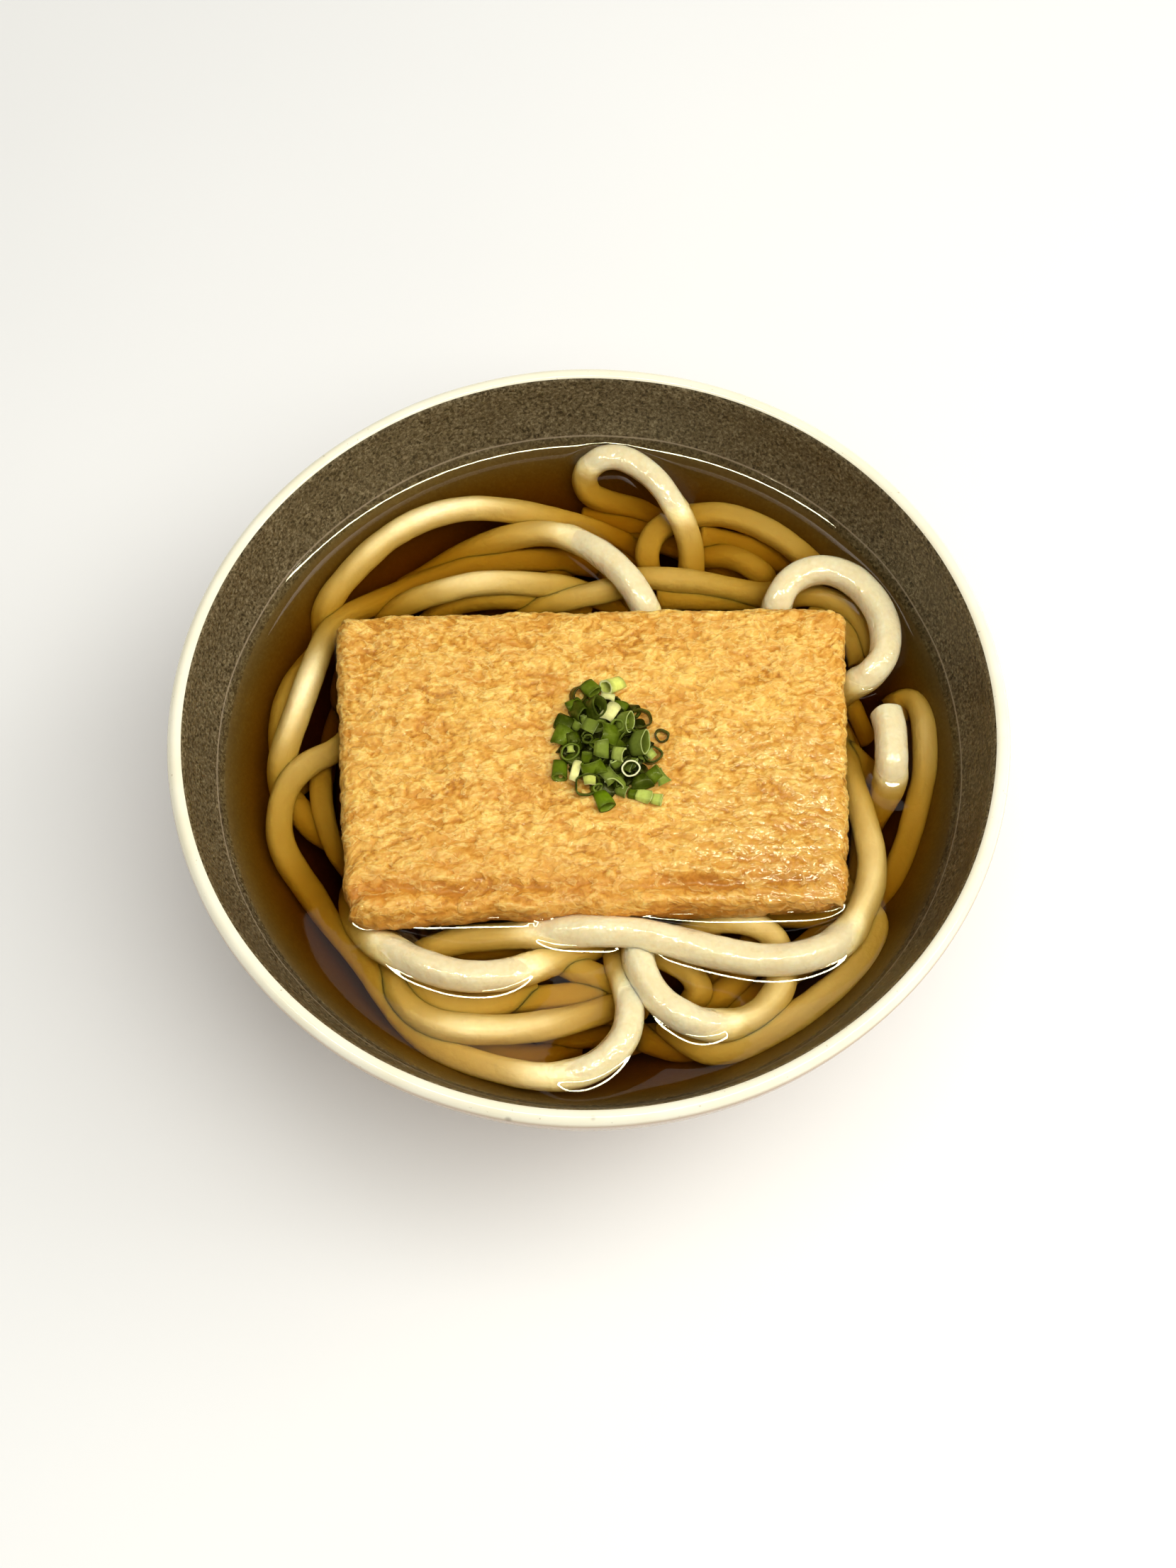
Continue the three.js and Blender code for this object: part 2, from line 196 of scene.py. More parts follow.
def smooth_path(points, step):
    """Evenly spaced points on a centripetal Catmull-Rom curve through the given points."""
    points = np.asarray(points, float)
    gaps = np.sqrt(np.linalg.norm(np.diff(points, axis=0), axis=1))
    knots = np.concatenate([[0], np.cumsum(gaps)])
    slopes = np.diff(points, axis=0) / gaps[:, None]
    before, after = gaps[:-1, None], gaps[1:, None]
    middle = (slopes[:-1] * after + slopes[1:] * before) / (before + after)
    tangents = np.vstack([slopes[:1], middle, slopes[-1:]])
    fine = np.linspace(0, knots[-1], 30 * len(points))
    i = np.clip(np.searchsorted(knots, fine, "right") - 1, 0, len(points) - 2)
    h = gaps[i][:, None]
    s = (fine - knots[i])[:, None] / h
    curve = (
        (2 * s**3 - 3 * s**2 + 1) * points[i]
        + (s**3 - 2 * s**2 + s) * h * tangents[i]
        + (3 * s**2 - 2 * s**3) * points[i + 1]
        + (s**3 - s**2) * h * tangents[i + 1]
    )
    for _ in range(40):
        curve[1:-1] = (curve[:-2] + 2 * curve[1:-1] + curve[2:]) / 4
    along = lengths_along(curve)
    even = np.linspace(0, along[-1], max(3, round(along[-1] / step) + 1))
    return np.stack([np.interp(even, along, curve[:, k]) for k in range(3)], 1)


def ripples(x, y, seed):
    """Smooth noise, about -1 to 1, whose features are one unit across."""
    angles = np.random.default_rng(seed).uniform(0, 2 * math.pi, (256, 256))
    x, y = np.broadcast_arrays(np.asarray(x, float), np.asarray(y, float))
    cell_x, cell_y = np.floor(x).astype(int), np.floor(y).astype(int)
    u, v = x - cell_x, y - cell_y
    fade_u = u**3 * (u * (6 * u - 15) + 10)
    fade_v = v**3 * (v * (6 * v - 15) + 10)

    def corner(i, j):
        angle = angles[(cell_x + i) % 256, (cell_y + j) % 256]
        return np.cos(angle) * (u - i) + np.sin(angle) * (v - j)

    low = corner(0, 0) * (1 - fade_u) + corner(1, 0) * fade_u
    high = corner(0, 1) * (1 - fade_u) + corner(1, 1) * fade_u
    return 1.5 * (low * (1 - fade_v) + high * fade_v)


def smoothstep(value, low, high):
    t = np.clip((value - low) / (high - low), 0, 1)
    return t * t * (3 - 2 * t)


def circle(count):
    """Evenly spaced angles round a circle."""
    return np.linspace(0, 2 * math.pi, count, endpoint=False)


def turned(radius, z, angle):
    """Rings of points round the middle axis, from columns of radii and heights."""
    return np.stack([radius * np.cos(angle), radius * np.sin(angle), z + 0 * angle], -1)


def quads(grid, close_rows=0, close_columns=0):
    """Faces between the neighbours in a grid of point numbers, which may be closed round."""
    grid = np.pad(grid, ((0, close_rows), (0, close_columns)), "wrap")
    corners = [grid[:-1, :-1], grid[:-1, 1:], grid[1:, 1:], grid[1:, :-1]]
    return np.stack(corners, -1).reshape(-1, 4).tolist()


def tube_faces(rows, columns):
    """Faces between rows of points, each row a closed ring, and a cap on the first and last row."""
    grid = np.arange(rows * columns).reshape(rows, columns)
    return quads(grid, close_columns=1) + [grid[0, ::-1].tolist(), grid[-1].tolist()]


def add_object(name, data):
    made = bpy.data.objects.new(name, data)
    bpy.context.scene.collection.objects.link(made)
    return made


class Shape:
    """Points in millimetres, faces and per-point values of one piece, gathered part by part."""

    def __init__(self):
        self.points, self.faces, self.values, self.count = [], [], {}, 0

    def add(self, points, faces, **values):
        self.faces += [[i + self.count for i in face] for face in faces]
        self.points.append(np.asarray(points, float).reshape(-1, 3))
        added = len(self.points[-1])
        self.count += added
        for name, value in values.items():
            value = np.asarray(value, float)
            self.values.setdefault(name, []).append(np.broadcast_to(value, (added, *value.shape[1:])))

    def piece(self, name, material, node, slot):
        mesh = bpy.data.meshes.new(name)
        mesh.from_pydata((np.vstack(self.points) * MM).tolist(), [], self.faces)
        mesh.polygons.foreach_set("use_smooth", [True] * len(mesh.polygons))
        for key, parts in self.values.items():
            value = np.concatenate(parts)
            if value.ndim == 1:
                mesh.attributes.new(key, "FLOAT", "POINT").data.foreach_set("value", value)
            else:
                colours = np.hstack([value, np.ones((len(value), 1))])
                mesh.attributes.new(key, "FLOAT_COLOR", "POINT").data.foreach_set("color", colours.ravel())
        mesh.materials.append(material)
        mesh.validate()
        piece = add_object(name, mesh)
        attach(piece, "root")
        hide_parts(node)


# ---- Materials ----


def linear(*srgb):
    """A linear colour from sRGB numbers of 0 to 255."""
    scaled = [c / 255 for c in srgb]
    return tuple(c / 12.92 if c <= 0.04045 else ((c + 0.055) / 1.055) ** 2.4 for c in scaled)


class Material:
    """A node material: a call adds its nodes and gives their output socket."""

    def __init__(self, name):
        self.made = bpy.data.materials.new(name)
        self.made.use_nodes = True
        self.tree = self.made.node_tree
        self.tree.nodes.clear()
        self.output = self.tree.nodes.new("ShaderNodeOutputMaterial")
        self.place = self.node("TexCoord").outputs["Object"]

    def set(self, socket, value):
        if isinstance(value, bpy.types.NodeSocket):
            self.tree.links.new(value, socket)
        elif isinstance(value, tuple) and len(value) == 3 and len(socket.default_value) == 4:
            socket.default_value = (*value, 1)
        else:
            socket.default_value = value

    def node(self, kind, inputs=None, **settings):
        made = self.tree.nodes.new("ShaderNode" + kind)
        for key, value in settings.items():
            setattr(made, key, value)
        for key, value in (inputs or {}).items():
            self.set(made.inputs[key], value)
        return made

    def noise(self, size, detail=3, roughness=0.5, distortion=0.0, stretch=None):
        """Noise between 0 and 1 with features of `size` millimetres."""
        place = self.place
        if stretch:
            place = self.node("Mapping", {"Vector": place, "Scale": stretch}).outputs[0]
        inputs = {"Vector": place, "Scale": 1 / (size * MM), "Detail": detail, "Roughness": roughness}
        return self.node("TexNoise", {**inputs, "Distortion": distortion}).outputs["Fac"]

    def value(self, name):
        return self.node("Attribute", attribute_name=name).outputs["Fac"]

    def along(self, axis):
        """How far a point lies along X, Y or Z, in metres."""
        return self.node("SeparateXYZ", {0: self.place}).outputs[axis]

    def fit(self, value, low, high, to_low=0.0, to_high=1.0, smooth=False):
        inputs = {"Value": value, "From Min": low, "From Max": high, "To Min": to_low, "To Max": to_high}
        kind = "SMOOTHSTEP" if smooth else "LINEAR"
        return self.node("MapRange", inputs, interpolation_type=kind).outputs[0]

    def span(self, axis, low, high, to_low=0.0, to_high=1.0, smooth=False):
        """A fit between two places along an axis, in millimetres."""
        return self.fit(self.along(axis), low * MM, high * MM, to_low, to_high, smooth)

    def maths(self, operation, a, b=0.0):
        return self.node("Math", {0: a, 1: b}, operation=operation).outputs[0]

    def times(self, a, b):
        return self.maths("MULTIPLY", a, b)

    def gap(self, value, middle):
        """How far a value is from `middle`, either way."""
        return self.maths("ABSOLUTE", self.maths("SUBTRACT", value, middle))

    def wavy_height(self, size, detail):
        """Height above the foot, in metres, moved up and down a little."""
        wave = self.fit(self.noise(size, detail=detail), 0, 1, -0.6 * MM, 0.6 * MM)
        return self.maths("ADD", self.along("Z"), wave)

    def mix(self, factor, a, b, blend="MIX"):
        inputs = {0: factor, 6: a, 7: b}
        return self.node("Mix", inputs, data_type="RGBA", blend_type=blend).outputs[2]

    def tint(self, colour, mask, share, *srgb):
        """The colour, with `share` of another one mixed in where the mask is 1."""
        return self.mix(self.times(mask, share), colour, linear(*srgb))

    def ramp(self, value, *stops):
        """Colours along a value: every stop is its position of 0 to 1 and three sRGB numbers."""
        made = self.node("ValToRGB", {"Fac": value})
        elements = made.color_ramp.elements
        for element, (position, *srgb) in zip(elements, (stops[0], stops[-1])):
            element.position = position
            element.color = (*linear(*srgb), 1)
        for position, *srgb in stops[1:-1]:
            elements.new(position).color = (*linear(*srgb), 1)
        return made.outputs["Color"]

    def bump(self, height, distance, normal=None):
        """Relief of `distance` millimetres between a height of 0 and 1."""
        inputs = {"Height": height, "Distance": distance * MM}
        if normal:
            inputs["Normal"] = normal
        return self.node("Bump", inputs).outputs[0]

    def finish(self, inputs, volume=None, clear_to_shadow=False):
        surface = self.node("BsdfPrincipled", inputs).outputs[0]
        if clear_to_shadow:
            ray = self.node("LightPath").outputs["Is Shadow Ray"]
            clear = self.node("BsdfTransparent").outputs[0]
            surface = self.node("MixShader", {0: ray, 1: surface, 2: clear}).outputs[0]
        self.tree.links.new(surface, self.output.inputs["Surface"])
        if volume:
            self.tree.links.new(volume, self.output.inputs["Volume"])
        return self.made


# Two small grey marks on the near side of the lip: x, y, z, radius and how strong they are.
LIP_MARKS = [(-19.3, -98.2, 76.6, 1.1, 0.6), (-0.7, -98.3, 77.6, 0.8, 0.35)]


def glaze_material():
    """Ivory gloss on the lip, a warmer beige outside below it darkened as painted shade, dark speckled satin
    inside, bare clay under the foot.
    """
    m = Material("bowl_glaze")
    speckle = m.noise(0.8, detail=2.5, roughness=0.6, distortion=0.6)
    dark = m.ramp(speckle, (0.34, 36, 28, 14), (0.44, 82, 70, 47), (0.56, 112, 99, 74), (0.7, 150, 137, 108))
    dark = m.mix(m.fit(m.noise(9), 0.3, 0.7, 0, 0.3), dark, linear(84, 72, 50))
    patch = m.fit(m.noise(14, detail=4), 0.35, 0.7)
    ivory = m.mix(patch, linear(250, 247, 231), linear(245, 240, 218))
    pinhole = m.fit(m.noise(1.1, detail=2), 0.24, 0.29, 1, 0)
    ivory = m.tint(ivory, pinhole, 0.5, 176, 160, 130)
    # Below the lip the outside is a warmer beige glaze, darkened further as painted shade.
    below_lip_beige_and_shade = m.span("Z", 77.2, 75.8, smooth=True)
    ivory = m.tint(ivory, below_lip_beige_and_shade, 0.95, 190, 163, 136)
    for *place, radius, strength in LIP_MARKS:
        centre = tuple(MM * v for v in place)
        away = m.node("VectorMath", {0: m.place, 1: centre}, operation="DISTANCE").outputs["Value"]
        mark = m.fit(away, 0.4 * radius * MM, radius * MM, 1, 0)
        ivory = m.tint(ivory, mark, strength, 134, 122, 102)
    ragged = m.fit(m.noise(1.6), 0, 1, -0.2, 0.2)
    inside = m.fit(m.maths("ADD", m.value("inside"), ragged), 0.45, 0.55, smooth=True)
    bare = m.fit(m.value("bare"), 0.45, 0.55, smooth=True)
    clay = m.ramp(m.noise(0.5, detail=5), (0.35, 176, 148, 112), (0.65, 206, 182, 146))
    colour = m.mix(bare, m.mix(inside, ivory, dark), clay)
    # Painted light: the wall under the broth is painted paler and warmer, more so with depth.
    under = m.times(m.span("Z", BROTH_LEVEL + 0.2, BROTH_LEVEL - 0.2), inside)
    deep = m.mix(m.span("Z", 54, 38), linear(112, 93, 64), linear(180, 140, 84))
    colour = m.mix(m.times(under, 0.8), colour, deep)
    # It has wetted the wall just over it, up to the tide line.
    wet_top, wet_low = (TIDE_LINE - 0.1) * MM, (TIDE_LINE - 0.7) * MM
    wet = m.times(m.fit(m.wavy_height(12, 2), wet_top, wet_low, smooth=True), inside)
    colour = m.tint(colour, wet, 0.3, 52, 43, 28)
    tide = m.fit(m.gap(m.wavy_height(30, 1), TIDE_LINE * MM), 0.1 * MM, 0.3 * MM, 1, 0)
    colour = m.tint(colour, m.times(tide, inside), 0.7, 168, 152, 130)
    rough = m.maths("ADD", m.fit(inside, 0, 1, 0.16, 0.42), m.fit(speckle, 0.2, 0.8, -0.06, 0.06))
    rough = m.mix(wet, rough, (0.28, 0.28, 0.28))
    rough = m.mix(bare, rough, (0.85, 0.85, 0.85))
    grain = m.times(speckle, m.fit(inside, 0, 1, 0.15, 1))
    relief = m.bump(m.noise(22, detail=2), 0.25, normal=m.bump(grain, 0.06))
    return m.finish({"Base Color": colour, "Roughness": rough, "Normal": relief})


def broth_material():
    """Clear brown soup, darker with depth."""
    m = Material("broth")
    absorb = m.node("VolumeAbsorption", {"Color": (0.786, 0.665, 0.11), "Density": 208.0}).outputs[0]
    # A film of oil gathers where the surface climbs, and makes that edge shine.
    film = m.fit(m.value("rise"), 0.5, 0.72, 0, 0.28, smooth=True)
    inputs = {"Base Color": (1, 1, 1), "Roughness": 0.03, "IOR": WATER_IOR, "Transmission Weight": 1.0}
    inputs |= {"Coat Weight": film, "Coat Roughness": 0.02, "Coat IOR": 2.5}
    return m.finish(inputs, volume=absorb, clear_to_shadow=True)


def noodle_material():
    """Smooth, slightly see-through dough, wet and shiny where it stands out of the broth."""
    m = Material("noodle")
    colour = m.mix(m.fit(m.noise(6), 0.3, 0.7), linear(246, 229, 189), linear(250, 238, 204))
    streak = m.fit(m.noise(1.2, detail=4), 0.35, 0.65)
    colour = m.tint(colour, streak, 0.25, 220, 202, 156)
    soaked = m.span("Z", BROTH_LEVEL - 2.5, BROTH_LEVEL + 0.5, 1, 0, smooth=True)
    colour = m.tint(colour, soaked, 0.95, 203, 180, 133)
    above = m.span("Z", BROTH_LEVEL - 0.2, BROTH_LEVEL + 0.4, smooth=True)
    ripple = m.bump(m.noise(4, detail=2, distortion=0.5), 0.45)
    relief = m.bump(m.noise(1.7, detail=2), 0.17, normal=ripple)
    return m.finish({
        "Base Color": colour,
        "Roughness": m.fit(m.noise(3), 0.3, 0.7, 0.25, 0.4),
        "Specular IOR Level": m.times(above, 0.5),
        "Subsurface Weight": 1.0,
        "Subsurface Radius": (3.0, 2.5, 1.8),
        "Subsurface Scale": MM,
        "Coat Weight": above,
        "Coat Roughness": 0.035,
        "Coat IOR": 1.62,
        "Coat Normal": relief,
        "Normal": relief,
    })


def tofu_material():
    """Golden fried skin: pale flakes and orange creases, partly painted highlight and shade over its relief,
    with painted shade towards the sides, moist with broth.
    """
    m = Material("fried_tofu")
    crumple = m.gap(m.noise(2.0, detail=2, distortion=0.6), 0.5)
    # The skin's colour follows its relief: paler where raised, darker in hollows, partly painted light and
    # shade.
    flake = m.maths("ADD", m.value("flake"), m.fit(crumple, 0, 0.11, -0.1, 0.06))
    colour = m.ramp(
        flake,
        (0.0, 170, 106, 26),
        (0.22, 200, 139, 45),
        (0.45, 225, 168, 72),
        (0.7, 239, 191, 96),
        (0.95, 250, 216, 124),
    )
    toast = m.fit(m.noise(9, roughness=0.6, stretch=(0.6, 1.3, 1)), 0.45, 0.66)
    colour = m.tint(colour, toast, 0.55, 208, 136, 46)
    gold = m.fit(m.noise(10, detail=2, distortion=0.4, stretch=(0.7, 1.2, 1)), 0.48, 0.7)
    colour = m.tint(colour, gold, 0.4, 250, 204, 104)
    # Small torn flakes, raised a little, with a painted highlight: paler inside and bright along their rims;
    # deeper gold cracks lie between them.
    torn = m.noise(2.9, detail=2, roughness=0.55, distortion=0.5, stretch=(0.75, 1.25, 1))
    lifted_and_lit = m.fit(torn, 0.46, 0.58, smooth=True)
    rim = m.fit(m.gap(torn, 0.56), 0, 0.045, 1, 0)
    other = m.noise(3.4, detail=2, roughness=0.55, distortion=0.6, stretch=(0.7, 1.3, 1))
    crack = m.fit(m.gap(other, 0.5), 0, 0.07, 1, 0, smooth=True)
    colour = m.tint(colour, lifted_and_lit, 0.25, 255, 215, 122)
    colour = m.tint(colour, rim, 0.42, 255, 231, 148)
    colour = m.tint(colour, crack, 0.4, 208, 138, 48)
    # Painted shade: the rounded sides of the slab are darkened.
    colour = m.tint(colour, m.value("side"), 0.7, 150, 88, 22)
    front = m.span("Y", -22, -38, smooth=True)
    colour = m.tint(colour, front, 0.3, 206, 134, 44)
    fine = m.noise(0.8)
    relief = m.bump(fine, 0.04, normal=m.bump(m.noise(2.0, detail=2, distortion=0.3), 0.4))
    relief = m.bump(lifted_and_lit, 0.14, normal=relief)
    # Broth has run over the corner to the right and front.
    wet = m.times(m.span("X", 12, 45), m.span("Y", 12, -20))
    return m.finish({
        "Base Color": colour,
        "Roughness": m.fit(fine, 0.3, 0.7, 0.42, 0.6),
        "Specular IOR Level": 0.35,
        "Subsurface Weight": 0.25,
        "Subsurface Radius": (2.4, 1.2, 0.4),
        "Subsurface Scale": MM,
        "Coat Weight": m.maths("ADD", m.fit(m.noise(5), 0.45, 0.65, 0, 0.2), wet),
        "Coat Roughness": 0.05,
        "Coat IOR": 1.8,
        "Coat Normal": relief,
        "Normal": relief,
    })


def onion_material():
    """Flecked green leaf; the colour of every slice is in its points."""
    m = Material("spring_onion")
    colour = m.node("Attribute", attribute_name="tone").outputs["Color"]
    fleck = m.fit(m.noise(0.8, detail=4), 0.3, 0.7)
    colour = m.mix(m.times(fleck, 0.35), colour, (0.6, 0.58, 0.4), "MULTIPLY")
    colour = m.mix(m.fit(m.noise(2.2, detail=2), 0.5, 0.75, 0, 0.15), colour, linear(176, 190, 80))
    return m.finish({
        "Base Color": colour,
        "Roughness": m.fit(m.noise(1.0), 0.3, 0.7, 0.3, 0.5),
        "Subsurface Weight": 0.2,
        "Subsurface Radius": (0.8, 1.0, 0.3),
        "Subsurface Scale": MM,
        "Specular IOR Level": 0.25,
        "Specular Tint": (0.9, 1.0, 0.4),
        "Coat Weight": 0.08,
        "Coat Roughness": 0.12,
        "Normal": m.bump(m.noise(0.5), 0.05),
    })


def floor_material():
    m = Material("floor")
    tone = m.mix(m.fit(m.noise(180, detail=2), 0.3, 0.7), (0.89, 0.91, 0.97), (0.91, 0.93, 0.99))
    return m.finish({"Base Color": tone, "Roughness": 0.6, "Specular IOR Level": 0.2})


# ---- Bowl ----


def wall_radius(z):
    """Radius of the inner wall at a height."""
    return INNER["radius"] * np.sqrt(1 - ((INNER["centre"] - z) / INNER["height"]) ** 2)


def arc(centre, radii, start, end, count):
    """Points [r, z] on an ellipse, with angles in degrees from the outward direction."""
    angle = np.radians(np.linspace(start, end, count))
    return [(centre[0] + radii[0] * math.cos(a), centre[1] + radii[1] * math.sin(a)) for a in angle]


def bowl():
    """Turned profile from the middle of the inside, over the lip, down the outside and under the foot."""
    inner_end = math.degrees(math.asin((LIP["z"] - INNER["centre"]) / INNER["height"]))
    inner = arc((0, INNER["centre"]), (INNER["radius"], INNER["height"]), -89.6, inner_end, 70)
    lip = arc((LIP["radius"], LIP["z"]), (LIP["half_width"], LIP["height"]), 176, 4, 44)
    outer_start = math.degrees(math.asin((LIP["z"] - OUTER["centre"]) / OUTER["height"]))
    outer_end = math.degrees(math.asin((FOOT["top"] - OUTER["centre"]) / OUTER["height"]))
    outer = arc((0, OUTER["centre"]), (OUTER["radius"], OUTER["height"]), outer_start, outer_end, 44)
    edge = 0.7
    ceiling = FOOT["ceiling"]
    foot = [(FOOT["flare"] - 0.5, 8.4), (FOOT["outer"] + 0.35, 3.5)]
    foot += arc((FOOT["outer"] - edge, edge), (edge, edge), 0, -90, 6)
    foot += arc((FOOT["inner"] + edge, edge), (edge, edge), -90, -180, 6)
    foot += [(FOOT["recess"] + 0.4, ceiling - 0.6), (FOOT["recess"] - 0.6, ceiling), (20, ceiling)]
    profile = np.array(inner + lip + outer + foot)
    dark_on_lip = 12
    inside = np.arange(len(profile)) < len(inner) + dark_on_lip
    bare = profile[:, 1] < 1.1
    spokes = 256
    angle = circle(spokes)
    radius, z = profile[:, 0, None], profile[:, 1, None]
    wobble = 0.12 * ripples(3 * np.cos(angle), 3 * np.sin(angle), 3)
    points = turned(radius + wobble * smoothstep(z, 20, 78), z, angle)
    faces = [face[::-1] for face in tube_faces(len(profile), spokes)]
    shape = Shape()
    shape.add(points, faces, inside=np.repeat(inside, spokes), bare=np.repeat(bare, spokes))
    shape.piece("bowl_glazed", glaze_material(), "bowl", "bowl_glaze")


# ---- Noodles ----

# The rings of a cut end: how far each lies past the path, and how much of the section it keeps.
CUT_END = [(0.3, 0.97), (0.62, 0.88), (0.8, 0.7), (0.86, 0.35), (0.88, 0.03)]
SQUARENESS = 2.7
NEAR = {"spacing": 0.95, "sides": 20}
DEEP = {"count": 34, "width": (5.9, 6.6), "depth": (14, 27), "spacing": 1.6, "sides": 14}


def noodle(shape, path, width, rng, sides):
    """A rounded square section swept along a path, turning slowly, with softly cut ends."""
    tangent = unit(np.gradient(path, axis=0))
    out = np.array([offset for offset, _ in CUT_END])[:, None]
    head = path[0] - tangent[0] * out[::-1]
    tail = path[-1] + tangent[-1] * out
    shrink = [scale for _, scale in CUT_END]
    scale = np.concatenate([shrink[::-1], np.ones(len(path)), shrink])
    path = np.vstack([head, path, tail])
    tangent = np.pad(tangent, ((len(out), len(out)), (0, 0)), "edge")
    side = unit(np.cross(tangent, (0, 0, 1)))
    top = np.cross(side, tangent)
    along = lengths_along(path)
    seed = int(rng.integers(1000))
    turn = rng.uniform(0, math.pi) + 0.8 * ripples(along / 28, seed + 0.5, 5)
    swell = 1 + 0.045 * ripples(along / 12, seed + 0.3, 6)
    swell += 0.02 * ripples(along / 4, seed + 0.7, 7)
    angle = circle(sides)
    section = np.abs(np.cos(angle)) ** SQUARENESS + np.abs(np.sin(angle)) ** SQUARENESS
    section **= -1 / SQUARENESS
    lumps = 1 + 0.012 * ripples(along[:, None] / 3 + seed, 2 * np.sin(angle)[None, :] + 9, 8)
    reach = (width / 2) * (swell * scale)[:, None] * section[None, :] * lumps
    direction = angle[None, :] + turn[:, None]
    points = (
        path[:, None]
        + (reach * np.cos(direction))[..., None] * side[:, None]
        + (reach * np.sin(direction))[..., None] * top[:, None]
    )
    shape.add(points, tube_faces(len(path), sides))


def routes():
    """(width, path) of every noodle that shows near the surface."""
    spacing = NEAR["spacing"]
    strands = STRANDS.values()
    return [(width, smooth_path([placed(*p) for p in points], spacing)) for width, *points in strands]


def deep_path(rng):
    """A loose arc lower in the bowl, kept inside the wall."""
    depth = rng.uniform(*DEEP["depth"])
    centre = rng.uniform(-38, 38, 2)
    radius = rng.uniform(18, 52)
    start, sweep = rng.uniform(0, 2 * math.pi), rng.uniform(1.3, 3.2)
    angle = start + np.linspace(0, sweep, 9)
    x = centre[0] + radius * np.cos(angle)
    y = centre[1] + radius * np.sin(angle) * rng.uniform(0.7, 1.1)
    z = BROTH_LEVEL - depth + 2.5 * np.sin(np.linspace(0, 2.5, 9) + rng.uniform(0, 6))
    limit = wall_radius(z) - 9
    pull = np.minimum(1, limit / np.maximum(np.hypot(x, y), 1))
    return smooth_path(np.stack([x * pull, y * pull, z], 1), DEEP["spacing"])


def noodle_mound():
    """What fills the bowl under the noodles that can be told apart."""
    spokes, reach = 64, 62
    upper = np.linspace(3, reach, 20)
    radius = np.concatenate([upper, [60, 53, 44, 30, 12]])
    z = np.concatenate([31 + 11 * (1 - (upper / reach) ** 3), [29, 23.5, 19, 15, 12]])
    points = turned(radius[:, None], z[:, None], circle(spokes))
    top = points[: len(upper)]
    top[..., 2] += 1.5 * ripples(top[..., 0] / 9, top[..., 1] / 9, 9)
    return points, tube_faces(len(points), spokes)


def noodles(near):
    rng = np.random.default_rng(SEED)
    shape = Shape()
    for width, path in near:
        noodle(shape, path, width, rng, NEAR["sides"])
    for _ in range(DEEP["count"]):
        noodle(shape, deep_path(rng), rng.uniform(*DEEP["width"]), rng, DEEP["sides"])
    shape.add(*noodle_mound())
    shape.piece("noodles_in_broth", noodle_material(), "noodles", "noodle")


# ---- Broth ----

# The length over which a climb of the surface fades, how high each thing draws it up, and how far a noodle's
# top stands over it where its climb starts and where it is full.
MENISCUS = {"length": 2.7, "noodle": 1.25, "covered": -0.4, "bare": 1.1, "wall": 2.5, "tofu": 1.6}


def strand_rise(x, y, near):
    """How far each noodle that breaks the surface draws the broth up, to the fourth power and summed."""
    total = np.zeros(len(x))
    for width, path in near:
        radius = width / 2
        height = path[:, 2] - BROTH_LEVEL
        crossing = path[(height > MENISCUS["covered"] - radius) & (height < radius)]
        if not len(crossing):
            continue
        height = crossing[:, 2] - BROTH_LEVEL
        half = np.sqrt(np.maximum(radius**2 - height**2, 0))
        rise = MENISCUS["noodle"] * smoothstep(height + radius, MENISCUS["covered"], MENISCUS["bare"])
        for block in np.array_split(np.arange(len(x)), 24):
            away = np.hypot(x[block, None] - crossing[:, 0], y[block, None] - crossing[:, 1]) - half
            nearest = away.argmin(1)
            distance = np.maximum(away[np.arange(len(block)), nearest], 0)
            total[block] += (rise[nearest] * np.exp(-distance / MENISCUS["length"])) ** 4
    return total


def tofu_distance(x, y):
    """Distance outside the fried tofu's outline, a rectangle with round corners."""
    cx, cy, _ = TOFU["centre"]
    corner = TOFU["corner"]
    half_x = TOFU["half_width"] + TOFU["flare"] * np.clip((y - cy) / TOFU["half_depth"], -1, 1) - corner
    dx, dy = np.abs(x - cx) - half_x, np.abs(y - cy) - (TOFU["half_depth"] - corner)
    return np.maximum(np.hypot(np.maximum(dx, 0), np.maximum(dy, 0)) - corner, 0)


def broth(near):
    """A solid of broth. Its surface climbs the wall, the tofu and the noodles a little."""
    spokes = 896
    angle = circle(spokes)
    climb = MENISCUS["wall"] * (0.2 + 0.8 * smoothstep(90 * np.sin(angle), -60, 10))
    edge = wall_radius(BROTH_LEVEL + climb)
    # The rows of points are far apart under the tofu and close together from `fine` outwards.
    coarse, fine = np.array([0.5, 14, 26, 34]), 38
    share = np.linspace(0, 1, 88)[:, None]
    radius = np.concatenate([coarse[:, None] + 0 * angle, fine + share * (edge - fine)])
    x, y = (radius * np.cos(angle)).ravel(), (radius * np.sin(angle)).ravel()
    length = MENISCUS["length"]
    total = strand_rise(x, y, near)
    total += (MENISCUS["tofu"] * np.exp(-tofu_distance(x, y) / length)) ** 4
    total += (climb * np.exp(-(edge - radius) / length)).ravel() ** 4
    rise = (total**0.25).reshape(radius.shape)
    top = turned(radius, BROTH_LEVEL + rise, angle)
    into_wall = 0.4
    hidden = top[-1:] + into_wall * turned(1, 0.9, angle)
    lowest = INNER["centre"] - INNER["height"] + 0.6
    depth = np.array([52, 44, 35, 27, 20, 15, 11.5, lowest])[:, None]
    bottom = turned(wall_radius(depth) + into_wall, depth - 0.3, angle)
    points = np.concatenate([top, hidden, bottom])
    rise = np.concatenate([rise, rise[-1:], 0 * depth + 0 * angle])
    shape = Shape()
    shape.add(points, [face[::-1] for face in tube_faces(len(points), spokes)], rise=rise.ravel())
    shape.piece("broth_clear", broth_material(), "broth", "broth")


# ---- Fried tofu ----


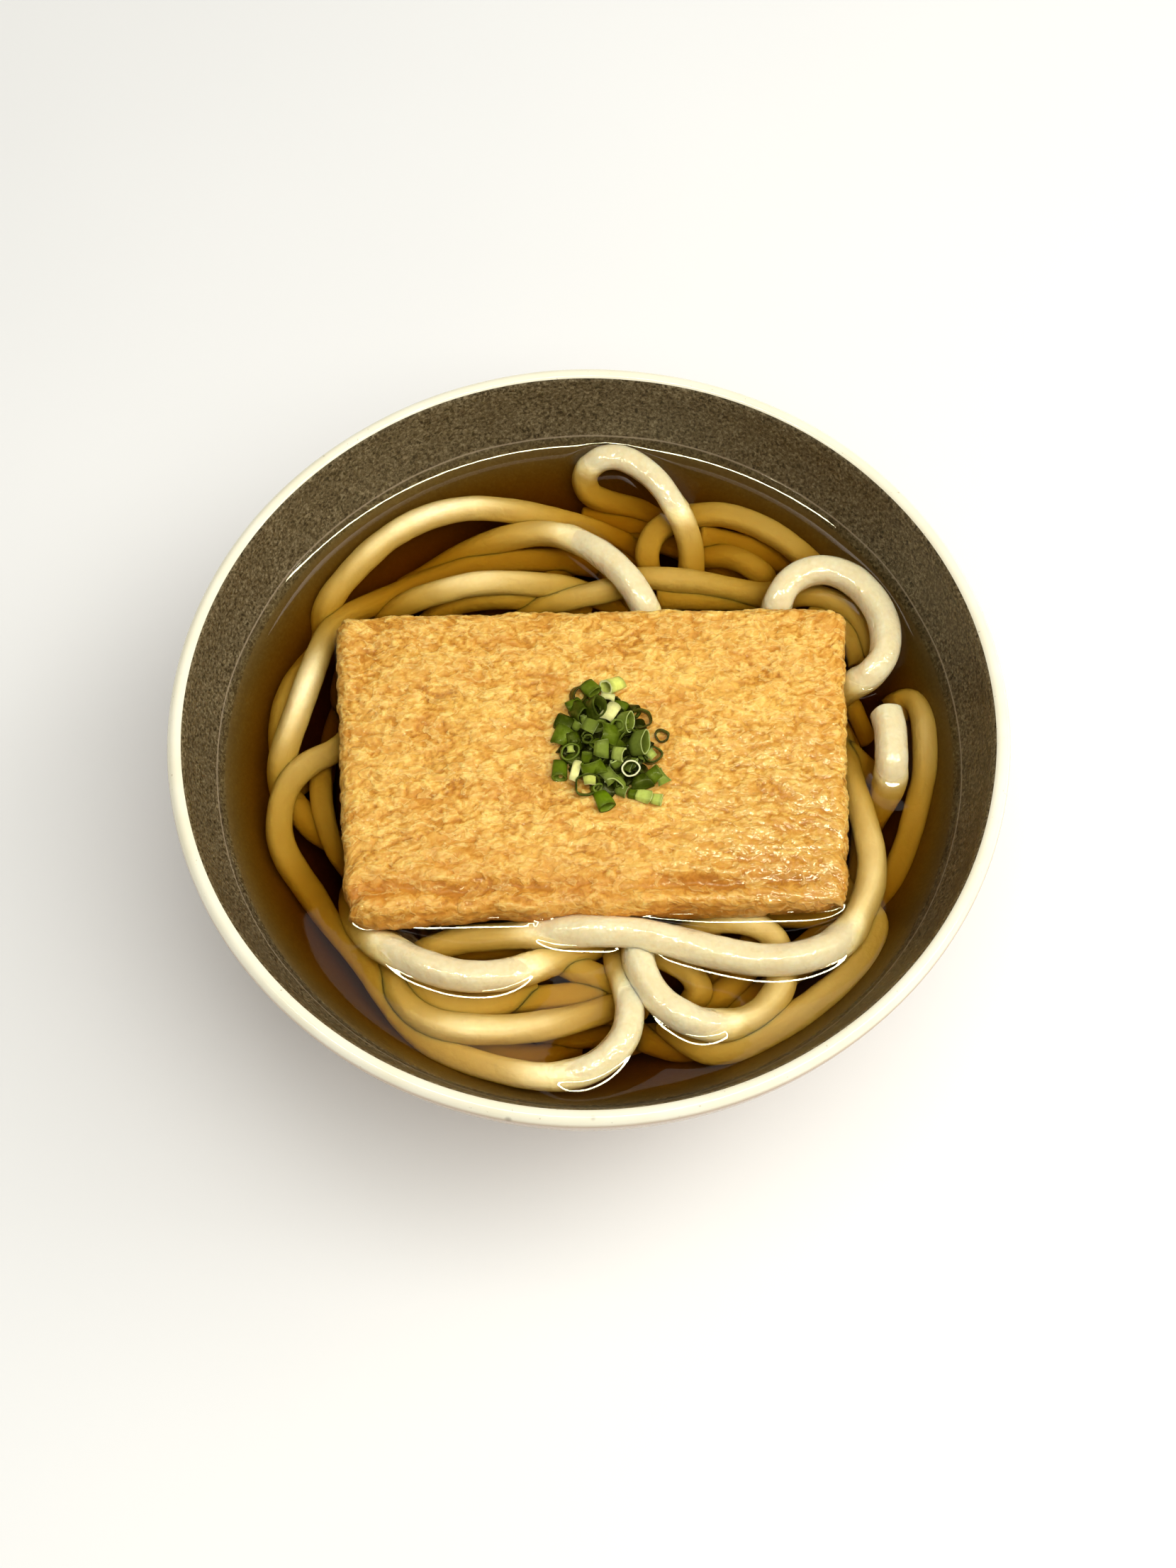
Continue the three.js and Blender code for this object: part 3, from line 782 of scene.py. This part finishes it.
def tofu_relief(x, y):
    """(height in mm, and a value of 0 to 1 for the colour, high on raised skin and low in hollows as partly
    painted light and shade) of the fried skin at places unrolled over its edges.
    """
    cx, cy, _ = TOFU["centre"]
    front = smoothstep(y, cy - 12, cy - 34)
    warp_x = 1.5 * ripples(x / 6, y / 5, 31) + 0.5 * ripples(x / 1.9, y / 1.7, 32)
    warp_y = 1.3 * ripples(x / 6, y / 5, 33) + 0.5 * ripples(x / 1.9, y / 1.7, 34)
    u, v = x + warp_x, y + warp_y
    stretch = 1 + 0.6 * front
    big = np.abs(ripples(u / (4.4 * stretch), v / 3.0, 35))
    small = np.abs(ripples(u / (2.2 * stretch), v / 1.5, 36))
    fine = np.abs(ripples(u / 0.9, v / 0.8, 37))
    flake = 0.45 * smoothstep(big, 0, 0.45) + 0.35 * smoothstep(small, 0, 0.45)
    flake += 0.2 * smoothstep(fine, 0, 0.5)
    swell = ripples(x / 15, y / 11, 38) + 0.7 * ripples(x / 8, y / 4.5, 39)
    fold = ripples(x / 24 + 3, v / 4.0, 40) * front
    crease = np.exp(-((y - (cy - 33.8) + 1.6 * ripples(x / 17, 0.5, 41)) ** 2) / 2.6)
    height = 0.5 * flake + 0.5 * swell + 0.6 * fold - 0.95 * crease
    # The colour value follows the relief: higher on swells and folds, lower in the crease and over the front
    # edge, as painted light and shade.
    flake += 0.14 * swell + 0.2 * fold - 0.5 * crease - 0.2 * smoothstep(y, cy - 40, cy - 44)
    return height, flake


def tofu_point(u, v, out, down):
    """A point on the slab: (u, v) on its flat part, then `out` and `down` of 0 to 1 over the edge."""
    cx, cy, cz = TOFU["centre"]
    power = TOFU["corner_power"]
    outline = np.maximum(np.abs(u), np.abs(v))
    corner = (np.abs(u) ** power + np.abs(v) ** power) ** (1 / power)
    round_off = np.where(corner > 0, outline / np.maximum(corner, 1e-9), 1)
    edge = TOFU["edge"]
    x = cx + u * round_off * (TOFU["half_width"] + TOFU["flare"] * v - edge * (1 - out))
    y = cy + v * round_off * (TOFU["half_depth"] - edge * (1 - out))
    y -= TOFU["droop"] * smoothstep(u, -0.35, -1) * smoothstep(v, 0.3, -1)
    wave = 0.5 * ripples(6 * u + 11, 4 * v + 3, 42) + 0.3 * ripples(18 * u, 12 * v, 43)
    x += wave * np.sign(u) * np.abs(u) ** 14
    y += wave * np.sign(v) * np.abs(v) ** 14
    thickness = TOFU["half_thickness"] * (1 - 0.14 * outline**6)
    z = cz + TOFU["tilt"] * v + thickness * down
    return x, y, z


def fried_tofu():
    """A soft slab: its top is a fine grid, and its rounded sides run down to a flat underside."""
    columns, rows = 290, 190
    u, v = np.meshgrid(np.linspace(-1, 1, columns), np.linspace(-1, 1, rows))
    x, y, z = tofu_point(u, v, 0, 1)
    height, flake = tofu_relief(x, y)
    grid = np.arange(rows * columns).reshape(rows, columns)
    top = np.stack([x, y, z + height], -1).reshape(-1, 3)
    loop = np.concatenate([grid[0, :-1], grid[:-1, -1], grid[-1, :0:-1], grid[:0:-1, 0]])
    bx, by = u.ravel()[loop], v.ravel()[loop]
    outward = unit(np.stack([np.sign(bx) * np.abs(bx) ** 40, np.sign(by) * np.abs(by) ** 40], 1))
    points, flakes, sides = [top], [flake.ravel()], [np.zeros(len(top))]
    steps = 24
    round_power = 2 / 2.5
    bend = 5.0
    for angle in np.linspace(0, math.pi, steps + 1)[1:]:
        out = math.sin(angle) ** round_power if angle < math.pi else 0
        down = math.copysign(abs(math.cos(angle)) ** round_power, math.cos(angle))
        x0, y0, _ = tofu_point(bx, by, 0, down)
        place = tofu_point(bx, by, out, down)
        unrolled = bend * angle
        lift, shade = tofu_relief(x0 + outward[:, 0] * unrolled, y0 + outward[:, 1] * unrolled)
        lift = lift * smoothstep(-angle, -math.pi, -2.2)
        normal = np.hstack([outward * math.sin(angle), np.full((len(bx), 1), math.cos(angle))])
        points.append(np.stack(place, 1) + normal * lift[:, None])
        flakes.append(shade)
        sides.append(np.full(len(bx), float(smoothstep(angle, 1, 2))))
    rings = np.vstack([loop, len(top) + np.arange(steps * len(loop)).reshape(steps, -1)])
    faces = quads(grid) + quads(rings.T, close_rows=1) + [rings[-1].tolist()]
    shape = Shape()
    shape.add(np.vstack(points), faces, flake=np.concatenate(flakes), side=np.concatenate(sides))
    shape.piece("fried_tofu_slab", tofu_material(), "fried_tofu", "fried_tofu")


# ---- Spring onion ----

# The sRGB colours of the leaf: the skin, and the cut faces at its ends. The shade tone is painted shade, for
# slices low in the heap.
TONES = {
    "dark": ((56, 68, 4), (60, 72, 14)), "mid": ((86, 104, 14), (98, 116, 36)),
    "bright": ((92, 116, 8), (58, 70, 4)), "grey": ((116, 132, 50), (186, 202, 130)),
    "light": ((170, 184, 92), (204, 214, 140)), "yellow": ((204, 212, 110), (226, 228, 168)),
    "cream": ((230, 230, 158), (232, 232, 176)), "olive": ((84, 72, 6), (52, 44, 2)),
    "ring": ((58, 64, 10), (238, 240, 200)), "shade": ((30, 34, 2), (26, 28, 2)),
}
LEAF_INSIDE = linear(128, 142, 48)
SEEN_AT = 68.0

# Every slice: x and y as seen at the height SEEN_AT, its lift above the tofu, the half-axes and length of
# the tube, the lean of its axis from upright, the way it leans to (0 is +X, 90 is +Y) and its tone. An
# opened slice adds the part of the round that it keeps, and some add the turn about their axis.
SLICES = [
    (0.7, 12, 2.8, 2, 1.3, 3.8, 74, -52, "mid"), (6.4, 13, 2.4, 2, 1.5, 5.6, 62, -145, "yellow"),
    (4.7, 9.2, 3, 1.9, 1.4, 3.2, 88, -100, "cream", 130),
    (5.2, 5.2, 4, 1.9, 1.3, 5.2, 80, -122, "cream", 150, 10),
    (-2.4, 10.3, 1.5, 2.3, 1.8, 2.8, 42, -35, "olive"), (6.7, 8.6, 1.8, 1.25, 1.1, 2, 30, -90, "olive"),
    (1.9, 6.4, 4, 3.1, 2.1, 4.2, 30, 8, "dark"), (-2.1, 5.6, 2.8, 2.2, 1.7, 4.2, 52, -60, "dark", 330, 40),
    (-3.6, 7.6, 1.8, 1.6, 1.2, 3.4, 80, -150, "mid"), (12.6, 3.5, 1.5, 2.7, 2.4, 2.4, 14, -90, "olive"),
    (9, 2.6, 4.4, 2.8, 2.1, 2.8, 58, -12, "grey"), (7.2, 2, 5, 1.6, 1.5, 2.6, 30, -110, "mid"),
    (0.5, 1.7, 4.6, 2.1, 1.2, 3.2, 86, -28, "grey", 110), (-5.6, 2.8, 1.6, 2.1, 1.4, 4.4, 84, -25, "dark"),
    (-6.2, -0.9, 1.7, 2.4, 1.6, 4.6, 82, 62, "mid"), (-3.6, -1.4, 2.6, 1.6, 1.1, 3.2, 74, 110, "dark"),
    (-0.2, -1.5, 3.6, 1.35, 1.15, 2.2, 32, -90, "dark"), (-4.6, -4.9, 2.4, 2.5, 2, 2.6, 24, -70, "mid"),
    (-4.4, -4.1, 3, 1.2, 0.8, 2.4, 84, 5, "light", 150),
    (3, -4.2, 5.4, 1.8, 1.1, 4, 62, 86, "grey", 190, 20),
    (4.3, -0.3, 5, 2.9, 2.2, 4.2, 52, 176, "mid", 210, 30),
    (7.2, -5.8, 4.7, 1.7, 1.2, 3.4, 70, -24, "light", 170, 24),
    (10, -9.8, 3.9, 2.15, 1.95, 3.2, 20, -100, "ring"), (12.3, -2.9, 4.3, 3.2, 2, 3.6, 54, -10, "grey"),
    (9.2, -1.6, 2.6, 2.4, 1.9, 3, 40, -70, "dark", 360, 20),
    (17.7, -1.3, 1.1, 1.75, 1.65, 1.8, 14, -90, "olive"), (15.2, -6.2, 1.9, 2.5, 2.1, 2.8, 22, -60, "dark"),
    (14.8, -6, 2.8, 1.4, 0.9, 2.6, 80, 40, "light", 150),
    (-3.4, -10.3, 2.3, 1.2, 0.9, 5.2, 84, -104, "cream", 110),
    (-7, -9.6, 1.3, 1.8, 1.4, 4.8, 86, -94, "mid"), (0.5, -9.1, 3.2, 2.6, 1.8, 3.2, 44, 98, "mid", 240, 10),
    (2.6, -9.6, 3.6, 1.4, 0.9, 3, 80, -70, "mid", 150), (-0.8, -13.6, 1.5, 3, 2.5, 3.2, 30, -62, "dark"),
    (0.1, -12.5, 2.9, 1.7, 1, 2.8, 86, -88, "yellow", 130),
    (4.6, -11.6, 3.1, 2.2, 1.3, 3.8, 84, 36, "grey", 150),
    (6.5, -13.4, 2.5, 2.3, 1.6, 2.8, 52, -128, "grey", 230),
    (3.3, -17.7, 1.2, 2.1, 1.3, 4.8, 84, -70, "bright"),
    (7.7, -15.5, 1.7, 1.5, 1.1, 2.8, 80, -26, "grey", 200), (10.3, -16.3, 1.4, 1.4, 1, 2.2, 76, -22, "mid"),
    (12.6, -17, 1.5, 1.6, 1.1, 3.4, 84, -20, "light", 180), (15.9, -18, 1.2, 1.4, 1, 2.6, 82, -14, "light"),
    (12.4, -13.4, 2.2, 1.9, 1.3, 4, 74, 14, "dark", 220, 14),
    (15.6, -11.4, 2.5, 1.8, 1.2, 3.4, 62, 34, "mid"), (17.2, -12.2, 2.2, 2, 1.1, 3.4, 78, 28, "grey", 140),
]


def leaf_slice(shape, rng, place, a, b, length, lean, toward, tone, span=360, roll=0):
    """A short piece of the hollow leaf: a thin tube, or the part of its round that `span` keeps."""
    whole = span >= 360
    count = 30 if whole else 22
    turn = math.radians(span)
    t = np.linspace(0, turn, count, endpoint=not whole) + (math.pi / 2 - turn / 2)
    wall = rng.uniform(0.34, 0.56)
    dent = 1 + 0.16 * ripples(0.9 * np.cos(t) + 7, 0.9 * np.sin(t) + 7, int(rng.integers(900)))
    ring = np.stack([a * np.cos(t), b * np.sin(t)], 1) * dent[:, None]
    normal = unit(np.stack([np.cos(t) / a, np.sin(t) / b], 1))
    slant = rng.uniform(-1, 1) * (0.22 if whole else 0.5) * length * np.cos(t + rng.uniform(0, 6))
    taper = rng.uniform(-0.12, 0.12)
    half, bevel = length / 2, 0.09
    front = [(0, s * (half - bevel), "skin") for s in (-1, -0.4, 0.4, 1)]
    back = [(wall, s * (half - bevel), "inner") for s in (1, 0.4, -0.4, -1)]
    section = front + [(bevel, half, "cut"), (wall - bevel, half, "cut")] + back
    section += [(wall - bevel, -half, "cut"), (bevel, -half, "cut")]
    skin, cut = np.array([linear(*srgb) for srgb in TONES[tone]]) * rng.uniform(0.75, 1.2)
    paint = {"skin": skin, "inner": 0.7 * skin + 0.3 * np.array(LEAF_INSIDE), "cut": cut}
    points, tones = [], []
    for depth, height, part in section:
        end = abs(height) / half
        flat = ring - normal * depth
        flat = flat * (1 + taper * height / half)
        points.append(np.column_stack([flat, height + slant * end * np.sign(height) * 0.5]))
        shade = 1
        if part == "skin":
            shade = 0.66 if end > 0.5 else 1.22
        tones.append(np.repeat(shade * paint[part][None], count, 0))
    lean, toward, roll = (math.radians(v) for v in (lean, toward, roll))
    axis = np.array([math.sin(lean) * math.cos(toward), math.sin(lean) * math.sin(toward), math.cos(lean)])
    across = np.array([-math.sin(toward), math.cos(toward), 0])
    third = np.cross(axis, across)
    if third[2] < 0:
        across, third = -across, -third
    first = across * math.cos(roll) + third * math.sin(roll)
    second = third * math.cos(roll) - across * math.sin(roll)
    points = np.array(points) @ np.stack([first, second, axis]) + np.array(place)
    grid = np.arange(len(section) * count).reshape(-1, count)
    faces = quads(grid, 1, int(whole))
    if not whole:
        faces += [grid[::-1, 0].tolist(), grid[:, -1].tolist()]
    shape.add(points, faces, tone=np.vstack(tones))


def seen_place(x, y, z):
    """The point at height z behind the one that is seen at (x, y) on the level SEEN_AT."""
    eye = np.array(CAMERA["place"])
    point = np.array([x, y, SEEN_AT])
    return point + (eye - point) * (z - SEEN_AT) / (eye[2] - SEEN_AT)


def filling(shape, rng, count, first, middle, half, rim, swell, power, a, b, length, lean, tones):
    """Small slices laid in a spiral: a low heap, `rim` over the tofu at its edge and `swell` more inside."""
    for i in range(count):
        out, angle = math.sqrt((i + 0.5) / count), first + 2.4 * i
        x = middle[0] + half[0] * out * math.cos(angle)
        y = middle[1] + half[1] * out * math.sin(angle)
        place = (x, y, ONION_BASE + rim + swell * (1 - out**power))
        form = [rng.uniform(*reach) for reach in (a, b, length, lean, (0, 360))]
        leaf_slice(shape, rng, place, *form, tones[i % len(tones)])


def spring_onion():
    rng = np.random.default_rng(SEED + 1)
    shape = Shape()
    for x, y, lift, *form in SLICES:
        leaf_slice(shape, rng, seen_place(x, y, ONION_BASE + lift), *form)
    # The lowest layer is all in the shade tone: painted shade between the slices.
    filling(
        shape, rng, count=40, first=0, middle=(4.4, -2), half=(10, 12.5), rim=0.8, swell=1.9, power=1,
        a=(1.4, 2.2), b=(1, 1.5), length=(2.5, 4), lean=(50, 88), tones=["shade"],
    )
    filling(
        shape, rng, count=26, first=1, middle=(4.2, -2), half=(9.5, 12), rim=1.2, swell=2.4, power=2,
        a=(1.2, 2), b=(0.8, 1.4), length=(1.8, 3.2), lean=(20, 88), tones=["dark", "mid", "dark", "grey"],
    )
    shape.piece("spring_onion_slices", onion_material(), "spring_onion", "spring_onion")


# ---- Floor, light and camera ----


def floor():
    half = 1.6
    mesh = bpy.data.meshes.new("floor")
    corners = [(-half, -half, 0), (half, -half, 0), (half, half, 0), (-half, half, 0)]
    mesh.from_pydata(corners, [], [(0, 1, 2, 3)])
    mesh.materials.append(floor_material())
    add_object("floor", mesh)


WARM_WHITE = (1, 0.965, 0.85)


def panel(name, place, size, power, turn=0.0, colour=WARM_WHITE):
    """A rectangular light of `size` metres that shines straight down, or turned about Y."""
    light = bpy.data.lights.new(name, "AREA")
    light.shape, (light.size, light.size_y) = "RECTANGLE", size
    light.energy, light.color = power, colour
    lamp = add_object(name, light)
    lamp.location, lamp.rotation_euler = place, (0, turn, 0)
    return lamp


def lights():
    """Two soft panels light the table, and wet things reflect a tube and a faint strip."""
    panel("panel", (0.45, -0.33, 1.2), (1.3, 1.14), 14.9).visible_glossy = False
    panel("side_panel", (0.95, 0.25, 0.75), (0.7, 0.7), 4.6, turn=0.9).visible_glossy = False
    tube = panel("tube", (0.42, -0.24, 1.18), (2.54, 0.065), 18.6, colour=(1, 0.98, 0.66))
    tube.visible_diffuse = tube.visible_transmission = False
    panel("sheen", (-0.02, 0.335, 1.2), (0.62, 0.14), 0.32, colour=(1, 0.93, 0.88))
    world = bpy.data.worlds.new("room")
    world.use_nodes = True
    sky = world.node_tree.nodes["Background"].inputs
    sky["Color"].default_value = (*WARM_WHITE, 1)
    sky["Strength"].default_value = 0.38
    world.cycles_visibility.glossy = False
    bpy.context.scene.world = world
    bpy.context.scene.view_settings.view_transform = "Standard"


def camera():
    lens = bpy.data.cameras.new("camera")
    lens.lens, lens.sensor_width = CAMERA["lens"], CAMERA["sensor"]
    lens.clip_start = 0.01
    right, up = Vector(CAMERA["right"]), Vector(CAMERA["up"])
    turn = Matrix([right, up, right.cross(up)]).transposed().to_4x4()
    eye = add_object("camera", lens)
    eye.matrix_world = Matrix.Translation(Vector(CAMERA["place"]) * MM) @ turn
    bpy.context.scene.camera = eye


near = routes()
bowl()
noodles(near)
broth(near)
fried_tofu()
spring_onion()
floor()
lights()
camera()
